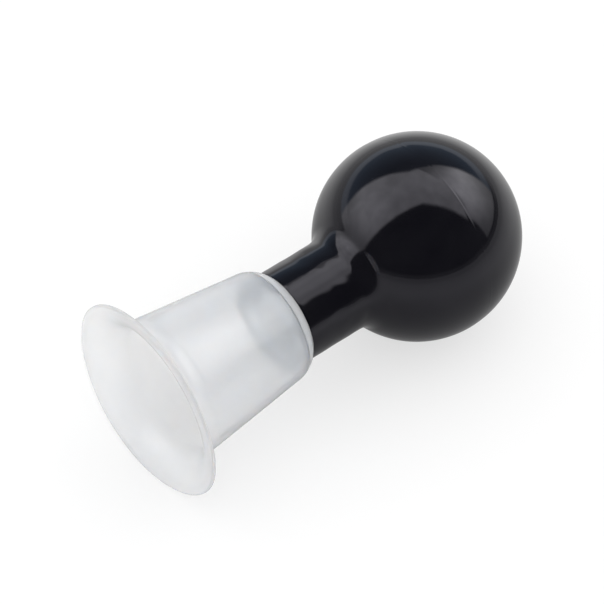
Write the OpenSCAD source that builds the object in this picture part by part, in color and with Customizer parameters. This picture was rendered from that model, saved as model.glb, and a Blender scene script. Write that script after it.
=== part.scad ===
// Hand suction tool: a round squeeze bulb, a hollow connector and a flared suction cup.
// The tool lies on its side along X, with the cup's mouth towards -X and the bulb towards +X.
// It rests on the bulb and on the cup's rim, and the origin is on the floor under its middle.

/* [Squeeze bulb] */
// Outside diameter of the ball
bulb_d = 45; // [40:0.5:52]
// Wall thickness of the ball
bulb_wall = 2.2; // [1.4:0.1:3]
// Outside diameter of the neck
neck_d = 20.9; // [19.5:0.1:21.6]
// Distance from the neck's end face to the centre of the ball
neck_reach = 37.2; // [33:0.1:42]
// Radius of the fillet where the neck runs into the ball
neck_fillet = 5; // [2:0.5:8]
// Rounding of the neck's end edge
neck_edge = 0.35; // [0.1:0.05:0.6]
// How far past the ball's centre its two halves meet
seam_shift = 1.8; // [0:0.1:4]
// Depth of the shallow valley along that seam
seam_depth = 0.12; // [0.05:0.01:0.3]
// Half the width of that valley
seam_half_w = 1.6; // [0.5:0.1:3]

/* [Suction cup] */
// Outside diameter of the flared rim
rim_d = 45; // [40:0.5:52]
// Length of the cup from the mouth to its end face
cup_len = 33.8; // [31:0.1:40]
// Wall thickness of the cup's barrel
cup_wall = 1.3; // [1:0.1:1.6]
// Thickness of the flared lip
lip_t = 1; // [0.7:0.1:1.4]
// Outside diameter of the barrel just behind the flare
barrel_d = 31.6; // [29:0.1:33]
// How much the barrel's radius narrows for each millimetre towards the bulb
barrel_taper = 0.117; // [0.1:0.001:0.125]
// Length of the flare along the axis
flare_len = 7.4; // [6.9:0.1:8.5]
// Radius of the round shoulder that runs from the barrel onto the connector's flange
shoulder_r = 5; // [4.5:0.1:5.4]
// Thickness of the end wall that the connector goes through
end_wall = 1.2; // [1:0.1:1.3]

/* [Connector] */
// Diameter of the flange's back edge, where the neck's black rubber starts
collar_d = 21.9; // [21.5:0.1:22.4]
// Thickness of the flange that closes the cup's end and shows between the cup and the neck
collar_t = 2.4; // [2:0.1:2.8]
// Radius of the flange's rounded side, seen along the tool
collar_round = 10; // [8:0.5:14]
// Chamfer on each side of the crease between cup and flange
crease = 0.15; // [0.1:0.05:0.2]
// Diameter of the plug that the cup's end wall grips
plug_d = 19.4; // [19:0.1:19.8]
// Wall of the plug round its recess
plug_wall = 1; // [0.8:0.1:1.2]
// Thickness of the web at the recess's floor, which the air passage goes through
web_t = 0.9; // [0.7:0.1:1.4]
// How far the plug stands into the cup past the end wall
plug_proud = 0.2; // [0:0.1:0.6]
// Diameter of the barbs that the neck grips
barb_d = 16.4; // [15:0.1:16.8]
// Length of the barbed spigot inside the neck
spigot_len = 12; // [10:0.5:15]
// Number of barbs on the spigot
barbs = 4; // [3:1:5]
// Diameter of the air passage
air_d = 10; // [6:0.5:11]

/* [Fits] */
// Radial clearance between the connector and the soft parts that pull off it
fit_gap = 0.05; // [0.02:0.01:0.08]

/* [Hidden] */
$fn = 96;

bulb_r = bulb_d / 2;
rim_r = rim_d / 2;
neck_r = neck_d / 2;
neck_x = cup_len + collar_t;            // the neck's end face
ball_x = neck_x + neck_reach;           // centre of the ball
total_len = ball_x + bulb_r;
axis_z = max(bulb_r, rim_r);            // height of the tool's axis over the floor

// fillet between neck and ball: a circle that touches both
fillet_r = neck_r + neck_fillet;
fillet_x = ball_x - sqrt(pow(bulb_r + neck_fillet, 2) - pow(fillet_r, 2));
touch = bulb_r / (bulb_r + neck_fillet);
// the ball's outside radius at dx past its centre
function ball_r(dx) = sqrt(bulb_r * bulb_r - dx * dx);

// flare: a quarter ring whose back is one circle and whose front is another, cut by the mouth plane
flare_dx = flare_len - lip_t;
flare_dr = rim_r - lip_t / 2 - barrel_d / 2;
flare_r = (flare_dx * flare_dx + flare_dr * flare_dr) / (2 * flare_dr);
flare_c = barrel_d / 2 + flare_r;       // radius at which the flare's centre circle runs
land_cut = 0.1;                         // how deep the mouth plane cuts the front circle, which leaves the flat land

// shoulder: a circle that touches the barrel's slope and ends at the end face
slope = 1 / sqrt(1 + barrel_taper * barrel_taper);
function barrel_r(x) = barrel_d / 2 - barrel_taper * (x - flare_len);
shoulder_x = cup_len - 1.5;             // where the barrel's straight side ends
sh_cx = shoulder_x - shoulder_r * barrel_taper * slope;
sh_cr = barrel_r(shoulder_x) - shoulder_r * slope;
end_r = sh_cr + sqrt(pow(shoulder_r, 2) - pow(cup_len - sh_cx, 2));
inner_x = cup_len - end_wall;           // the end wall's inner face

// flange: its side is a circle from the end of the cup's shoulder to the back edge
flange_chord = sqrt(pow(end_r - collar_d / 2, 2) + pow(collar_t, 2));
flange_h = sqrt(pow(collar_round, 2) - pow(flange_chord / 2, 2));
flange_cr = (end_r + collar_d / 2) / 2 - flange_h * collar_t / flange_chord;
flange_cx = (cup_len + neck_x) / 2 - flange_h * (end_r - collar_d / 2) / flange_chord;

// stands a profile drawn as [radius, distance from the mouth] along the tool's axis
module turned() {
    translate([-total_len / 2, 0, axis_z]) rotate([0, 90, 0])
        rotate_extrude($fn = 180) intersection() {
            translate([0, -10]) square([100, 300]);
            children();
        }
}

// a ball on a neck that starts at the neck's end face, with a fillet between the two
module ball_outline() {
    translate([0, ball_x]) circle(r = bulb_r, $fn = 180);
    difference() {
        polygon([[0, neck_x], [neck_r - neck_edge, neck_x], [neck_r, neck_x + neck_edge],
            [neck_r, fillet_x], [fillet_r, fillet_x],
            [fillet_r * touch, ball_x - (ball_x - fillet_x) * touch], [0, ball_x]]);
        translate([fillet_r, fillet_x]) circle(r = neck_fillet, $fn = 96);
    }
}

module squeeze_bulb() {
    bore_r = barb_d / 2 + fit_gap;
    color("#15151a") turned() difference() {
        ball_outline();
        // the hollow of the ball and the neck's bore
        translate([0, ball_x]) circle(r = bulb_r - bulb_wall, $fn = 180);
        translate([-1, neck_x - 1]) square([1 + bore_r, ball_x - neck_x]);
        // lead-in chamfer at the neck's mouth
        polygon([[0, neck_x - 1], [bore_r + 1.3, neck_x - 1], [bore_r, neck_x + 0.3], [0, neck_x + 0.3]]);
        // shallow valley where the ball's two halves meet
        polygon([[ball_r(seam_shift) - seam_depth, ball_x + seam_shift],
            [ball_r(seam_shift - seam_half_w) + 0.002, ball_x + seam_shift - seam_half_w],
            [bulb_r + 1, ball_x + seam_shift - seam_half_w],
            [bulb_r + 1, ball_x + seam_shift + seam_half_w],
            [ball_r(seam_shift + seam_half_w) + 0.002, ball_x + seam_shift + seam_half_w]]);
    }
}

// one barb: a cone that rises towards the collar and ends there in a sharp step
module barb(x, pitch) {
    polygon([[0, x], [barb_d / 2, x], [barb_d / 2, x + 0.5], [barb_d / 2 - 0.55, x + pitch], [0, x + pitch]]);
}

module connector() {
    pitch = (spigot_len - 1) / barbs;
    plug_x = inner_x - plug_proud;
    recess_r = plug_d / 2 - plug_wall;
    web_x = neck_x - web_t;
    color("#c9d2dc") turned() difference() {
        union() {
            // plug that the cup grips, with a rounded front edge
            round_edged_disc(plug_x, cup_len + 0.01, plug_d / 2, 0.3);
            // flange
            flange();
            // barbed spigot
            translate([0, neck_x - 0.01]) square([barb_d / 2, 1.01]);
            for (i = [0 : barbs - 1]) barb(neck_x + 1 + i * pitch, pitch);
        }
        // recess in the plug's front
        translate([-1, plug_x - 1]) square([1 + recess_r, web_x - plug_x + 1]);
        // air passage, with a chamfer at the recess's floor
        translate([-1, web_x - 1]) square([1 + air_d / 2, spigot_len + 10]);
        polygon([[0, web_x - 1], [air_d / 2 + 1.35, web_x - 1], [air_d / 2, web_x + 0.35], [0, web_x + 0.35]]);
    }
}

// the flange's half section, chamfered at the crease and at its back edge
module flange() {
    back = 0.2;
    mid_r = (end_r - crease + collar_d / 2 - back + collar_t) / 2;
    intersection() {
        translate([flange_cr, flange_cx]) circle(r = collar_round, $fn = 240);
        polygon([[0, cup_len], [end_r - crease, cup_len], [mid_r, cup_len + mid_r - end_r + crease],
            [collar_d / 2 - back, neck_x], [0, neck_x]]);
    }
}

// a disc from x0 to x1 with radius r, its edges rounded by e
module round_edged_disc(x0, x1, r, e) {
    translate([0, x0]) square([r - e, x1 - x0]);
    translate([0, x0 + e]) square([r, x1 - x0 - 2 * e]);
    for (x = [x0 + e, x1 - e]) translate([r - e, x]) circle(r = e, $fn = 24);
}

module suction_cup() {
    slip_r = plug_d / 2 + fit_gap;
    color("#e9ecef") turned() difference() {
        union() {
            // barrel
            polygon([[0, flare_len], [barrel_d / 2, flare_len], [barrel_r(shoulder_x), shoulder_x], [0, shoulder_x]]);
            // round shoulder
            intersection() {
                translate([sh_cr, sh_cx]) circle(r = shoulder_r, $fn = 120);
                polygon([[0, shoulder_x - 1], [end_r - crease + cup_len - shoulder_x + 1, shoulder_x - 1],
                    [end_r - crease, cup_len], [0, cup_len]]);
            }
            translate([0, shoulder_x - 1]) square([sh_cr, cup_len - shoulder_x + 1]);
            // flare
            difference() {
                polygon([[0, 0], [rim_r - lip_t / 2, 0], [rim_r - lip_t / 2, lip_t], [flare_c, flare_len],
                    [barrel_d / 2, flare_len], [0, flare_len]]);
                translate([flare_c, flare_len]) circle(r = flare_r, $fn = 120);
            }
            // rounded rim edge
            translate([rim_r - lip_t / 2, lip_t / 2]) circle(r = lip_t / 2, $fn = 32);
        }
        // inside of the flare: everything nearer the axis than the front circle
        difference() {
            translate([-1, -1]) square([1 + flare_c, flare_len + 1]);
            translate([flare_c, flare_len]) circle(r = flare_r + lip_t + land_cut, $fn = 120);
        }
        // inside of the barrel
        polygon([[-1, flare_len - 0.01], [flare_c - flare_r - lip_t - land_cut, flare_len - 0.01],
            [barrel_r(flare_len + 3) - cup_wall, flare_len + 3],
            [barrel_r(shoulder_x) - cup_wall, shoulder_x], [-1, shoulder_x]]);
        // inside of the shoulder, as far as the end wall
        intersection() {
            union() {
                translate([sh_cr, sh_cx]) circle(r = shoulder_r - cup_wall, $fn = 120);
                translate([-1, shoulder_x - 1]) square([1 + sh_cr, 20]);
            }
            translate([-1, shoulder_x - 0.01]) square([rim_r, inner_x - shoulder_x + 0.01]);
        }
        // hole for the connector's plug
        translate([-1, inner_x - 1]) square([1 + slip_r, end_wall + 2]);
    }
}

suction_cup();
connector();
squeeze_bulb();
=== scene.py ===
"""Looks of the squeeze-bulb suction cup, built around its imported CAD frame.

The tool lies on its side along X: the cup's mouth faces -X, the ball is at +X, and it rests on its rim and its ball.
Lengths in the shape code are millimetres from the cup's mouth along the tool's axis; meshes are written in metres.
"""

import math

import bmesh
import bpy
import numpy as np
from mathutils import Matrix, Vector, noise


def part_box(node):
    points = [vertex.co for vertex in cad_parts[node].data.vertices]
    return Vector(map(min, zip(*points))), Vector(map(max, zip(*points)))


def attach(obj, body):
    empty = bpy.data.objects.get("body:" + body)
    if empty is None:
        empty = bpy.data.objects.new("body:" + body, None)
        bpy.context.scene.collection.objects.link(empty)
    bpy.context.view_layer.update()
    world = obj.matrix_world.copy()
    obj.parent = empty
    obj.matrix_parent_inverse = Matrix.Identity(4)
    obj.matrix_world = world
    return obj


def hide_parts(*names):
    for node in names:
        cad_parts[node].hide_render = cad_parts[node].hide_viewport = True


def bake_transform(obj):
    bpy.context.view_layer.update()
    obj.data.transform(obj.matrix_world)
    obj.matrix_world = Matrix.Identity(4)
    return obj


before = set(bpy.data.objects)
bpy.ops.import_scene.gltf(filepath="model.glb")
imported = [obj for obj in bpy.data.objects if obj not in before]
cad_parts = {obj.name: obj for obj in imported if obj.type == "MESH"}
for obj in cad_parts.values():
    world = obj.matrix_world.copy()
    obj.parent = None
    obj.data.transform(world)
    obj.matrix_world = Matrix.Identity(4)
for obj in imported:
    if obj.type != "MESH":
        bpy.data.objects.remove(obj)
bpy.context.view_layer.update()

# ---------------------------------------------------------------- sizes, from the CAD frame
MM = 0.001
cup_lo, cup_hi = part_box("suction_cup")
con_lo, con_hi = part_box("connector")
bulb_lo, bulb_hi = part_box("squeeze_bulb")

X0 = cup_lo.x / MM                     # the mouth's place along X
AXIS_Z = (bulb_lo.z + bulb_hi.z) / 2 / MM
BULB_R = (bulb_hi.z - bulb_lo.z) / 2 / MM
TOTAL = (bulb_hi.x - cup_lo.x) / MM
CUP_LEN = (cup_hi.x - cup_lo.x) / MM
RIM_R = (cup_hi.z - cup_lo.z) / 2 / MM
NECK_X = (bulb_lo.x - cup_lo.x) / MM
BALL_X = TOTAL - BULB_R

NECK_R, NECK_FILLET, NECK_EDGE, BULB_WALL, BORE_R = 10.45, 5.0, 0.35, 2.2, 8.25
SEAM_SHIFT, SEAM_DEPTH = 1.5, 0.03
CUP_WALL, LIP_T, BARREL_R, TAPER, FLARE_LEN = 1.3, 1.0, 15.8, 0.117, 7.4
SHOULDER_R, END_WALL, SLIP_R, LAND_CUT, CREASE = 5.0, 1.2, 9.75, 0.1, 0.15


# ---------------------------------------------------------------- mesh helpers
def arc(c, r, a0, a1, step):
    """Points on a circle in the [radius, distance] plane; angles in degrees, 0 along +radius."""
    n = max(2, int(math.ceil(abs(math.radians(a1 - a0)) * r / step)))
    return [
        (c[0] + r * math.cos(math.radians(a0 + (a1 - a0) * i / n)),
         c[1] + r * math.sin(math.radians(a0 + (a1 - a0) * i / n)))
        for i in range(n + 1)
    ]


def line(p, q, step):
    n = max(1, int(math.ceil(math.dist(p, q) / step)))
    return [(p[0] + (q[0] - p[0]) * i / n, p[1] + (q[1] - p[1]) * i / n) for i in range(n + 1)]


def path(*runs):
    """Joins runs of points and drops the doubles."""
    out = []
    for run in runs:
        for p in run:
            if not out or math.dist(out[-1], p) > 1e-4:
                out.append((float(p[0]), float(p[1])))
    return out


def lathe(name, profile, segs, shift=None):
    """Turns a closed profile of [radius, distance] points about the tool's axis into one watertight skin.

    The profile runs with the material on its left. shift(point, normal, turn, index) moves a point, in millimetres.
    A point that lies on the axis becomes one vertex.
    """
    prof = np.array(profile)
    n = len(prof)
    t = np.roll(prof, -1, 0) - np.roll(prof, 1, 0)
    t /= np.maximum(np.linalg.norm(t, axis=1, keepdims=True), 1e-9)
    nrm = np.stack([t[:, 1], -t[:, 0]], 1)          # to the right of the way along the profile, out of the material
    verts, rows = [], []
    for i in range(n):
        r, x = prof[i]
        if r < 1e-6:
            rows.append([len(verts)] * segs)
            p = Vector((X0 + x, 0, AXIS_Z))
            if shift:
                p = shift(p, Vector((nrm[i][1], 0, 0)), 0.0, i)
            verts.append(p)
            continue
        row = []
        for k in range(segs):
            a = 2 * math.pi * k / segs
            u = Vector((0, math.cos(a), math.sin(a)))
            p = Vector((X0 + x, 0, AXIS_Z)) + u * r
            nn = u * nrm[i][0] + Vector((nrm[i][1], 0, 0))
            if shift:
                p = shift(p, nn, a, i)
            row.append(len(verts))
            verts.append(p)
        rows.append(row)
    faces = []
    for i in range(n):
        a, b = rows[i], rows[(i + 1) % n]
        for k in range(segs):
            m = (k + 1) % segs
            f = [a[k], a[m], b[m], b[k]]
            f = [v for j, v in enumerate(f) if v not in f[:j]]
            if len(f) > 2:
                faces.append(f)
    me = bpy.data.meshes.new(name)
    me.from_pydata([tuple(v * MM) for v in verts], [], faces)
    me.update()
    bm = bmesh.new()
    bm.from_mesh(me)
    bmesh.ops.recalc_face_normals(bm, faces=bm.faces)
    bm.to_mesh(me)
    bm.free()
    for p in me.polygons:
        p.use_smooth = True
    ob = bpy.data.objects.new(name, me)
    bpy.context.scene.collection.objects.link(ob)
    return ob


def wave(p, scale, seed):
    """Smooth noise from -1 to 1 with that wavelength in millimetres."""
    return noise.noise(Vector((p.x / scale + seed * 17.3, p.y / scale - seed * 5.1, p.z / scale + seed * 9.7)))


def ease(a, b, v):
    t = min(1.0, max(0.0, (v - a) / (b - a)))
    return t * t * (3 - 2 * t)


# ---------------------------------------------------------------- squeeze bulb
fillet_r = NECK_R + NECK_FILLET
fillet_x = BALL_X - math.sqrt((BULB_R + NECK_FILLET) ** 2 - fillet_r ** 2)
touch_a = math.degrees(math.atan2(fillet_x - BALL_X, fillet_r))       # where ball and fillet meet, seen from the ball's centre
inner_r = BULB_R - BULB_WALL
in_x = BALL_X - math.sqrt(inner_r ** 2 - BORE_R ** 2)

outer = path(
    arc((NECK_R - NECK_EDGE, NECK_X + NECK_EDGE), NECK_EDGE, -90, 0, 0.1),
    line((NECK_R, NECK_X + NECK_EDGE), (NECK_R, fillet_x), 0.7),
    arc((fillet_r, fillet_x), NECK_FILLET, 180, 180 + touch_a, 0.35),
    arc((0, BALL_X), BULB_R, touch_a, -8, 0.55),
    arc((0, BALL_X), BULB_R, -8, 20, 0.16),
    arc((0, BALL_X), BULB_R, 20, 90, 0.55),
)
inside = path(
    arc((0, BALL_X), inner_r, 90, math.degrees(math.atan2(in_x - BALL_X, BORE_R)), 1.2),
    line((BORE_R, in_x), (BORE_R, NECK_X + 0.9), 1.0),
    line((BORE_R, NECK_X + 0.3), (BORE_R + 0.3, NECK_X), 0.2),
)


def bulb_shift(p, nn, a, i):
    """Moulded rubber: faint low undulations, and the valley and flash line where the ball's two halves meet."""
    if i >= len(outer):
        return p
    x = p.x - X0
    on = ease(NECK_X + 1.5, NECK_X + 8, x)
    neck = 1 - ease(fillet_x - 2, fillet_x + 3, x)
    d = on * (0.035 * wave(p, 17, 1) + 0.010 * wave(p, 6.5, 2) + 0.18 * neck * wave(p, 6.5, 4) + 0.085 * neck * wave(p, 3.0, 6))
    if x > BALL_X - BULB_R:
        s = x - BALL_X - SEAM_SHIFT
        d -= SEAM_DEPTH * math.exp(-((s / 1.6) ** 2))
        d += 0.016 * math.exp(-((s / 0.16) ** 2)) * (0.75 + 0.5 * wave(p, 5, 3))
    q = p + nn * d
    q.z = max(q.z, 0.0)
    q.x = min(q.x, X0 + TOTAL)
    return q


bulb = lathe("squeeze_bulb_skin", path(outer, inside), 256, bulb_shift)

# ---------------------------------------------------------------- suction cup
slope = 1 / math.sqrt(1 + TAPER * TAPER)
flare_dx, flare_dr = FLARE_LEN - LIP_T, RIM_R - LIP_T / 2 - BARREL_R
flare_r = (flare_dx ** 2 + flare_dr ** 2) / (2 * flare_dr)
flare_c = BARREL_R + flare_r
sh_x = CUP_LEN - 1.5


def barrel_r(x):
    return BARREL_R - TAPER * (x - FLARE_LEN)


sh_cx = sh_x - SHOULDER_R * TAPER * slope
sh_cr = barrel_r(sh_x) - SHOULDER_R * slope
end_a = math.degrees(math.asin((CUP_LEN - CREASE - sh_cx) / SHOULDER_R))
end_r = sh_cr + math.sqrt(SHOULDER_R ** 2 - (CUP_LEN - sh_cx) ** 2)
sl_a = math.degrees(math.atan2(SHOULDER_R * TAPER * slope, SHOULDER_R * slope))
in_wall_x = CUP_LEN - END_WALL
in_sh_r = SHOULDER_R - CUP_WALL
front_r = flare_r + LIP_T + LAND_CUT
rim_c = (RIM_R - LIP_T / 2, LIP_T / 2)
back_a = math.degrees(math.atan2(LIP_T - FLARE_LEN, RIM_R - LIP_T / 2 - flare_c))
land_r = flare_c - math.sqrt(front_r ** 2 - FLARE_LEN ** 2)
front_a = math.degrees(math.atan2(-FLARE_LEN, land_r - flare_c))
wall_in = barrel_r(FLARE_LEN + 3) - CUP_WALL
in_touch = (sh_cr + in_sh_r * math.cos(math.radians(sl_a)), sh_cx + in_sh_r * math.sin(math.radians(sl_a)))
in_end_a = math.degrees(math.asin(min(1, (in_wall_x - sh_cx) / in_sh_r)))


def on_front(deg):
    return (flare_c + front_r * math.cos(math.radians(deg)), FLARE_LEN + front_r * math.sin(math.radians(deg)))


def soft_corner(p, q, r, n):
    return [tuple((1 - t) ** 2 * a + 2 * t * (1 - t) * b + t * t * c for a, b, c in zip(p, q, r))
            for t in (i / n for i in range(n + 1))]


cup_profile = path(
    # outside, from the hole in the end wall to the rim
    [(SLIP_R, CUP_LEN - 0.25), (SLIP_R + 0.07, CUP_LEN - 0.07), (SLIP_R + 0.25, CUP_LEN)],
    line((SLIP_R + 0.25, CUP_LEN), (end_r - CREASE - 0.05, CUP_LEN), 0.5),
    [(end_r - CREASE + 0.03, CUP_LEN - 0.03)],
    arc((sh_cr, sh_cx), SHOULDER_R, end_a, sl_a, 0.3),
    line((barrel_r(sh_x), sh_x), (BARREL_R, FLARE_LEN), 0.6),
    arc((flare_c, FLARE_LEN), flare_r, 180, 180 + (back_a + 180 if back_a < 0 else back_a - 180), 0.3),
    arc(rim_c, LIP_T / 2, 90, -90, 0.12),
    # inside, from the mouth to the end wall
    soft_corner((land_r + 0.9, 0.0), (land_r, 0.0), on_front(front_a - 5.0), 9),
    arc((flare_c, FLARE_LEN), front_r, front_a - 5.3, -180, 0.3),
    line((flare_c - front_r, FLARE_LEN), (wall_in, FLARE_LEN + 3), 0.6),
    line((wall_in, FLARE_LEN + 3), in_touch, 0.6),
    arc((sh_cr, sh_cx), in_sh_r, sl_a, in_end_a, 0.25),
    line((sh_cr + in_sh_r * math.cos(math.radians(in_end_a)) - 0.1, in_wall_x), (SLIP_R + 0.15, in_wall_x), 0.5),
    [(SLIP_R, in_wall_x + 0.15)],
)[::-1]


def cup_shift(p, nn, a, i):
    """Soft silicone: the thin lip isn't quite flat or round, and the barrel's wall varies a little."""
    x = p.x - X0
    lip = 1 - ease(0.5, FLARE_LEN + 2, x)
    dx = lip * (0.16 * math.sin(2 * a + 0.6) + 0.10 * math.sin(3 * a + 2.1) + 0.12)
    dr = -0.10 * lip * (0.5 + 0.5 * math.sin(3 * a + 1.0))
    body = 0.05 * wave(p, 14, 5) * ease(1.0, 6.0, x) * (1 - ease(CUP_LEN - 6, CUP_LEN - 2.5, x))
    u = Vector((0, math.cos(a), math.sin(a)))
    q = p + Vector((dx, 0, 0)) + u * dr + nn * body
    q.z = max(q.z, 0.0)
    q.x = max(q.x, X0)
    return q


cup = lathe("suction_cup_skin", cup_profile, 256, cup_shift)


# ---------------------------------------------------------------- materials
def tree(name):
    m = bpy.data.materials.new(name)
    m.use_nodes = True
    nt = m.node_tree
    nt.nodes.clear()
    out = nt.nodes.new("ShaderNodeOutputMaterial")
    b = nt.nodes.new("ShaderNodeBsdfPrincipled")
    nt.links.new(b.outputs[0], out.inputs["Surface"])
    return m, nt, b


def coords(nt):
    return nt.nodes.new("ShaderNodeTexCoord").outputs["Object"]


def noise_tex(nt, co, scale, detail=3.0, rough=0.5):
    n = nt.nodes.new("ShaderNodeTexNoise")
    n.inputs["Scale"].default_value = scale
    n.inputs["Detail"].default_value = detail
    n.inputs["Roughness"].default_value = rough
    nt.links.new(co, n.inputs["Vector"])
    return n.outputs["Fac"]


def remap(nt, val, a, b, c, d, smooth=False):
    n = nt.nodes.new("ShaderNodeMapRange")
    if smooth:
        n.interpolation_type = "SMOOTHSTEP"
    for k, v in zip(("From Min", "From Max", "To Min", "To Max"), (a, b, c, d)):
        n.inputs[k].default_value = v
    nt.links.new(val, n.inputs["Value"])
    return n.outputs["Result"]


def product(nt, *vals):
    out = vals[0]
    for v in vals[1:]:
        n = nt.nodes.new("ShaderNodeMath")
        n.operation = "MULTIPLY"
        nt.links.new(out, n.inputs[0])
        nt.links.new(v, n.inputs[1])
        out = n.outputs[0]
    return out


def mirrored(nt, ray, depth):
    """1 for the first glossy reflection of what surrounds the object, 0 for the light that fills and goes through it."""
    first = remap(nt, ray["Ray Depth"], depth + 0.2, depth + 0.8, 1.0, 0.0)
    return product(nt, ray["Is Glossy Ray"], first, remap(nt, ray["Is Transmission Ray"], 0, 1, 1.0, 0.0))


def bump(nt, height, distance, strength, normal=None):
    n = nt.nodes.new("ShaderNodeBump")
    n.inputs["Distance"].default_value = distance
    n.inputs["Strength"].default_value = strength
    nt.links.new(height, n.inputs["Height"])
    if normal is not None:
        nt.links.new(normal, n.inputs["Normal"])
    return n.outputs["Normal"]


def mix_rgb(nt, fac, a, b):
    n = nt.nodes.new("ShaderNodeMix")
    n.data_type = "RGBA"
    n.inputs["A"].default_value = (*a, 1)
    n.inputs["B"].default_value = (*b, 1)
    nt.links.new(fac, n.inputs["Factor"])
    return n.outputs["Result"]


def rubber():
    m, nt, b = tree("black_rubber_gloss")
    co = coords(nt)
    b.inputs["IOR"].default_value = 1.5
    b.inputs["Specular IOR Level"].default_value = 0.275
    b.inputs["Specular Tint"].default_value = (0.925, 0.905, 1.0, 1)
    cloud = noise_tex(nt, co, 90, 4)
    nt.links.new(mix_rgb(nt, remap(nt, cloud, 0.35, 0.7, 0, 1), (0.0036, 0.0035, 0.0050), (0.0056, 0.0055, 0.0072)),
                 b.inputs["Base Color"])
    haze = noise_tex(nt, co, 160, 5, 0.6)
    nt.links.new(remap(nt, haze, 0.35, 0.72, 0.055, 0.10), b.inputs["Roughness"])
    fine = noise_tex(nt, co, 420, 3)
    nt.links.new(bump(nt, fine, 0.00002, 0.35), b.inputs["Normal"])
    return m


def silicone():
    m, nt, b = tree("milky_silicone")
    co = coords(nt)
    b.inputs["IOR"].default_value = 1.41
    b.inputs["Transmission Weight"].default_value = 0.62
    b.inputs["Subsurface Weight"].default_value = 1.0
    b.inputs["Subsurface Radius"].default_value = (1.0, 0.9, 0.8)
    b.inputs["Subsurface Scale"].default_value = 0.012
    cloud = noise_tex(nt, co, 70, 3)
    nt.links.new(mix_rgb(nt, remap(nt, cloud, 0.35, 0.7, 0, 1), (0.835, 0.845, 0.865), (0.87, 0.87, 0.873)),
                 b.inputs["Base Color"])
    grain = noise_tex(nt, co, 300, 4, 0.6)
    # the lip is matt from use, the barrel has kept its gloss
    along = nt.nodes.new("ShaderNodeSeparateXYZ")
    nt.links.new(co, along.inputs[0])
    matt = remap(nt, along.outputs["X"], (X0 + 5) / 1000, (X0 + 13) / 1000, 1.0, 0.0, True)
    mark = nt.nodes.new("ShaderNodeMix")
    nt.links.new(matt, mark.inputs["Factor"])
    nt.links.new(remap(nt, grain, 0.3, 0.75, 0.09, 0.14), mark.inputs["A"])
    nt.links.new(remap(nt, grain, 0.3, 0.75, 0.22, 0.262), mark.inputs["B"])
    nt.links.new(mark.outputs["Result"], b.inputs["Roughness"])
    fine = noise_tex(nt, co, 900, 2)
    nt.links.new(bump(nt, fine, 0.00002, 0.3), b.inputs["Normal"])
    return m


def natural_plastic():
    m, nt, b = tree("natural_plastic")
    co = coords(nt)
    b.inputs["IOR"].default_value = 1.49
    b.inputs["Transmission Weight"].default_value = 0.62
    b.inputs["Subsurface Weight"].default_value = 0.0
    cloud = noise_tex(nt, co, 120, 3)
    # the tinted clear plastic is kept dark and bluish so that the plug's recess reads as shaded through the cup:
    # painted shade
    clear = mix_rgb(nt, remap(nt, cloud, 0.35, 0.7, 0, 1), (0.22, 0.31, 0.42), (0.30, 0.38, 0.48))
    # the flange rim is coloured lighter, partly its own frosted tone and partly a painted highlight along its edge; the
    # lighter ring round the air passage is a painted highlight, the bright arc on the bore's edge
    off = nt.nodes.new("ShaderNodeVectorMath")
    off.operation = "MULTIPLY_ADD"
    nt.links.new(co, off.inputs[0])
    off.inputs[1].default_value = (0, 1, 1)
    off.inputs[2].default_value = (0, 0, -AXIS_Z / 1000)
    out_r = nt.nodes.new("ShaderNodeVectorMath")
    out_r.operation = "LENGTH"
    nt.links.new(off.outputs[0], out_r.inputs[0])
    frost_tone_noise = noise_tex(nt, co, 700, 4, 0.6)
    frost_and_painted_highlight = mix_rgb(nt, remap(nt, frost_tone_noise, 0.35, 0.7, 0, 1), (0.90, 0.905, 0.915), (0.95, 0.95, 0.95))
    shade_and_highlight_mix = nt.nodes.new("ShaderNodeMix")
    shade_and_highlight_mix.data_type = "RGBA"
    frost_and_highlight_mask = nt.nodes.new("ShaderNodeMath")
    frost_and_highlight_mask.operation = "MAXIMUM"
    # mask of the lighter flange rim: partly frosted tone, partly a painted highlight along its edge
    nt.links.new(remap(nt, out_r.outputs["Value"], 0.0100, 0.0108, 0, 1, True), frost_and_highlight_mask.inputs[0])
    # mask of the painted highlight ring round the air passage
    nt.links.new(remap(nt, out_r.outputs["Value"], 0.0056, 0.0053, 0, 1, True), frost_and_highlight_mask.inputs[1])
    nt.links.new(frost_and_highlight_mask.outputs[0], shade_and_highlight_mix.inputs["Factor"])
    nt.links.new(clear, shade_and_highlight_mix.inputs["A"])
    nt.links.new(frost_and_painted_highlight, shade_and_highlight_mix.inputs["B"])
    nt.links.new(shade_and_highlight_mix.outputs["Result"], b.inputs["Base Color"])
    grain = noise_tex(nt, co, 400, 3)
    nt.links.new(remap(nt, grain, 0.3, 0.75, 0.12, 0.18), b.inputs["Roughness"])
    fine = noise_tex(nt, co, 1200, 2)
    nt.links.new(bump(nt, fine, 0.00002, 0.25), b.inputs["Normal"])
    return m


def paint(ob, mat):
    ob.data.materials.clear()
    ob.data.materials.append(mat)


paint(bulb, rubber())
paint(cup, silicone())
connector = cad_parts["connector"]
plastic = natural_plastic()
for s in connector.material_slots:
    s.material = plastic

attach(cup, "cup")
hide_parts("suction_cup")
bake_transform(bulb)
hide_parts("squeeze_bulb")


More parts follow.
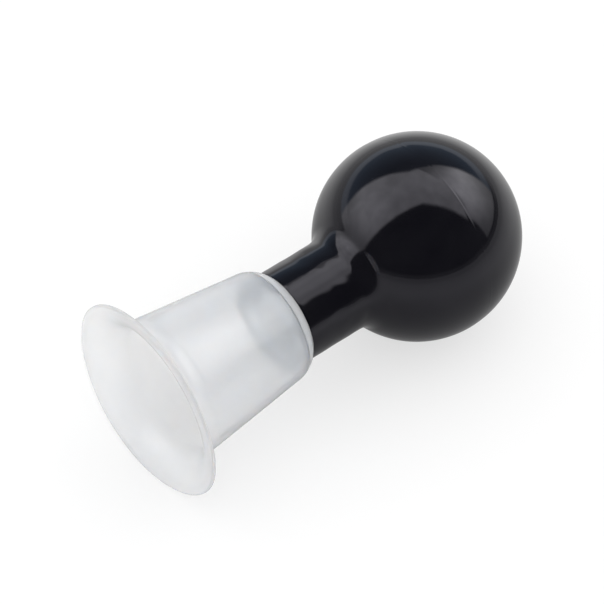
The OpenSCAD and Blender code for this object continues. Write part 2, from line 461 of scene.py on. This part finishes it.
# ---------------------------------------------------------------- camera, at the photograph's viewing angle
FORWARD = Vector((0.42024411, 0.51552662, -0.7467444))
RIGHT = Vector((0.77509848, -0.63184044, 0.0))
DOWN = Vector((-0.47182331, -0.57880045, -0.66511112))
PX = 0.0002134                                          # metres for one pixel at the ball
BALL = Vector((X0 + BALL_X, 0, AXIS_Z)) * MM
offset = RIGHT * (416.28 - 301.5) + DOWN * (235.94 - 301.5) + FORWARD * 4200
cam_data = bpy.data.cameras.new("camera")
cam = bpy.data.objects.new("camera", cam_data)
bpy.context.scene.collection.objects.link(cam)
cam_data.sensor_fit = "HORIZONTAL"
cam_data.sensor_width = 36
cam_data.lens = 36 * 4200 / 604
cam_data.clip_start, cam_data.clip_end = 0.05, 50
place = Matrix((
    (RIGHT.x, -DOWN.x, -FORWARD.x, 0),
    (RIGHT.y, -DOWN.y, -FORWARD.y, 0),
    (RIGHT.z, -DOWN.z, -FORWARD.z, 0),
    (0, 0, 0, 1),
))
cam.matrix_world = Matrix.Translation(BALL - offset * PX) @ place
bpy.context.scene.camera = cam

# ---------------------------------------------------------------- floor
FLOOR_GLOW = 0.60
fm = bpy.data.meshes.new("floor")
S = 6.0
fm.from_pydata([(-S, -S, 0), (S, -S, 0), (S, S, 0), (-S, S, 0)], [], [(0, 1, 2, 3)])
floor = bpy.data.objects.new("floor", fm)
bpy.context.scene.collection.objects.link(floor)
m, nt, b = tree("white_paper")
b.inputs["Roughness"].default_value = 0.9
b.inputs["Specular IOR Level"].default_value = 0.1
b.inputs["Emission Color"].default_value = (1, 1, 1, 1)
ray = nt.nodes.new("ShaderNodeLightPath").outputs
away = nt.nodes.new("ShaderNodeVectorMath")
away.operation = "DISTANCE"
nt.links.new(coords(nt), away.inputs[0])
away.inputs[1].default_value = ((X0 + BALL_X) / 1000, 0, 0)
# painted shade: in reflections only, the floor's glow dims with distance from the ball
painted_distance_shade = remap(nt, away.outputs["Value"], 0.12, 0.50, 1.0, 0.62, True)
# painted contact shadow: in reflections only, the floor's glow is darker close to the ball
painted_contact_shadow = remap(nt, away.outputs["Value"], 0.03, 0.11, 0.14, 0.54, True)
mirror = mirrored(nt, ray, 1)
glow = nt.nodes.new("ShaderNodeMix")
nt.links.new(mirror, glow.inputs["Factor"])
glow.inputs["A"].default_value = FLOOR_GLOW
nt.links.new(product(nt, painted_contact_shadow, painted_distance_shade), glow.inputs["B"])
# painted shade: in reflections only, the distant floor also gets a darker colour
nt.links.new(mix_rgb(nt, product(nt, mirror, remap(nt, painted_distance_shade, 0.62, 1.0, 1.0, 0.0)), (0.30, 0.30, 0.30), (0.22, 0.22, 0.22)),
             b.inputs["Base Color"])
nt.links.new(glow.outputs["Result"], b.inputs["Emission Strength"])
paint(floor, m)


# ---------------------------------------------------------------- studio: a soft tent with panels, as directions on the world
GAIN, FILL = 2.0, 1.5                                   # the mirrored tent, and its even light
world = bpy.data.worlds.new("studio")
bpy.context.scene.world = world
world.use_nodes = True
world.cycles.sampling_method = "NONE"                   # so that the mirrored and the even light stay apart
wt = world.node_tree
wt.nodes.clear()
w_dir = wt.nodes.new("ShaderNodeTexCoord").outputs["Generated"]


def w_math(op, a, b_=None):
    n = wt.nodes.new("ShaderNodeMath")
    n.operation = op
    for i, v in enumerate((a, b_)):
        if v is None:
            continue
        if isinstance(v, (int, float)):
            n.inputs[i].default_value = v
        else:
            wt.links.new(v, n.inputs[i])
    return n.outputs[0]


def side(nx, ny, nz, soft, bias=0.0):
    """1 on the side of the plane through the object that the normal points to, 0 on the other."""
    n = wt.nodes.new("ShaderNodeVectorMath")
    n.operation = "DOT_PRODUCT"
    wt.links.new(w_dir, n.inputs[0])
    n.inputs[1].default_value = (nx, ny, nz)
    return remap(wt, n.outputs["Value"], bias - soft, bias + soft, 0, 1, True)


def w_add(*vals):
    out = vals[0]
    for v in vals[1:]:
        out = w_math("ADD", out, v)
    return out


def w_mul(*vals):
    out = vals[0]
    for v in vals[1:]:
        out = w_math("MULTIPLY", out, v)
    return out


def inv(v):
    return w_math("SUBTRACT", 1.0, v)


cam_left = side(0.261, 0.962, 0.081, 0.035, -0.05)
cam_top = side(0.673, 0.732, 0.106, 0.05)
cam_right = side(0.723, 0.691, 0.017, 0.03)
front_lit = w_math("MAXIMUM", w_math("MAXIMUM", cam_left, cam_top), cam_right)
back_l = side(-0.677, -0.536, 0.504, 0.04)
back_m = side(-0.546, -0.664, 0.511, 0.03)
back_r = side(-0.118, -0.843, 0.524, 0.04)
back_lit = w_math("MAXIMUM", w_math("MAXIMUM", back_l, back_m), back_r)
above = side(0, 0, 1, 0.02, 0.10)                       # over the paper's edge
panel_r = w_mul(side(0.793, 0.289, -0.536, 0.02), back_r, cam_right)
paper = w_mul(inv(side(0, 0, 1, 0.02, 0.07)), 1.0)
paper_back = w_mul(inv(side(0, 0, 1, 0.03, 0.24)), side(0.35, 0.94, 0, 0.2, 0.35))


def lobe(az, el, sharp):
    """A soft spot of light round a direction: azimuth as for the views, elevation in degrees."""
    a, e = math.radians(az), math.radians(el)
    n = wt.nodes.new("ShaderNodeVectorMath")
    n.operation = "DOT_PRODUCT"
    wt.links.new(w_dir, n.inputs[0])
    n.inputs[1].default_value = (math.sin(a) * math.cos(e), -math.cos(a) * math.cos(e), math.sin(e))
    return w_math("EXPONENT", w_math("MULTIPLY", w_math("SUBTRACT", n.outputs["Value"], 1.0), sharp))


height = wt.nodes.new("ShaderNodeSeparateXYZ")
wt.links.new(w_dir, height.inputs[0])
low = remap(wt, height.outputs["Z"], 0.05, 0.50, 0.45, 1.0, True)
tent = w_mul(above, front_lit, back_lit)
cloth = w_add(
    w_mul(low, w_add(0.95, w_mul(lobe(-138, 40, 7), 0.95))),
    w_mul(lobe(90, 62, 4), 0.30),
    w_mul(lobe(115, 63, 14), 0.40),
)
panel = w_add(0.2, w_mul(lobe(76, 43, 10), 2.5), w_mul(lobe(100, 30, 60), 0.8))
folds = remap(wt, noise_tex(wt, w_dir, 4.5, 2), 0.3, 0.7, 0.86, 1.12)
level = w_add(
    w_mul(tent, folds, w_add(w_mul(cloth, inv(panel_r)), w_mul(panel, panel_r))),
    w_mul(w_math("MAXIMUM", paper, paper_back), w_add(0.10, w_mul(paper_back, 0.24))),
)
bg = wt.nodes.new("ShaderNodeBackground")
bg.inputs["Color"].default_value = (1, 1, 1, 1)
wt.links.new(w_mul(level, GAIN), bg.inputs["Strength"])
dim = wt.nodes.new("ShaderNodeBackground")
dim.inputs["Color"].default_value = (0.55, 0.75, 1.0, 1)
wt.links.new(w_mul(above, inv(back_lit), front_lit, remap(wt, height.outputs["Z"], 0.3, 0.7, GAIN * 0.27, GAIN * 0.09)),
             dim.inputs["Strength"])
both = wt.nodes.new("ShaderNodeAddShader")
wt.links.new(bg.outputs[0], both.inputs[0])
wt.links.new(dim.outputs[0], both.inputs[1])
plain = wt.nodes.new("ShaderNodeBackground")
plain.inputs["Color"].default_value = (1, 1, 1, 1)
plain.inputs["Strength"].default_value = 1.0
fill = wt.nodes.new("ShaderNodeBackground")
fill.inputs["Color"].default_value = (1, 1, 1, 1)
fill.inputs["Strength"].default_value = FILL
ray = wt.nodes.new("ShaderNodeLightPath").outputs
lit = wt.nodes.new("ShaderNodeMixShader")
wt.links.new(mirrored(wt, ray, 2), lit.inputs[0])            # the world counts one bounce more
wt.links.new(fill.outputs[0], lit.inputs[1])
wt.links.new(both.outputs[0], lit.inputs[2])
mixer = wt.nodes.new("ShaderNodeMixShader")
wt.links.new(ray["Is Camera Ray"], mixer.inputs[0])
wt.links.new(lit.outputs[0], mixer.inputs[1])
wt.links.new(plain.outputs[0], mixer.inputs[2])
w_out = wt.nodes.new("ShaderNodeOutputWorld")
wt.links.new(mixer.outputs[0], w_out.inputs["Surface"])

bpy.context.scene.view_settings.view_transform = "Standard"
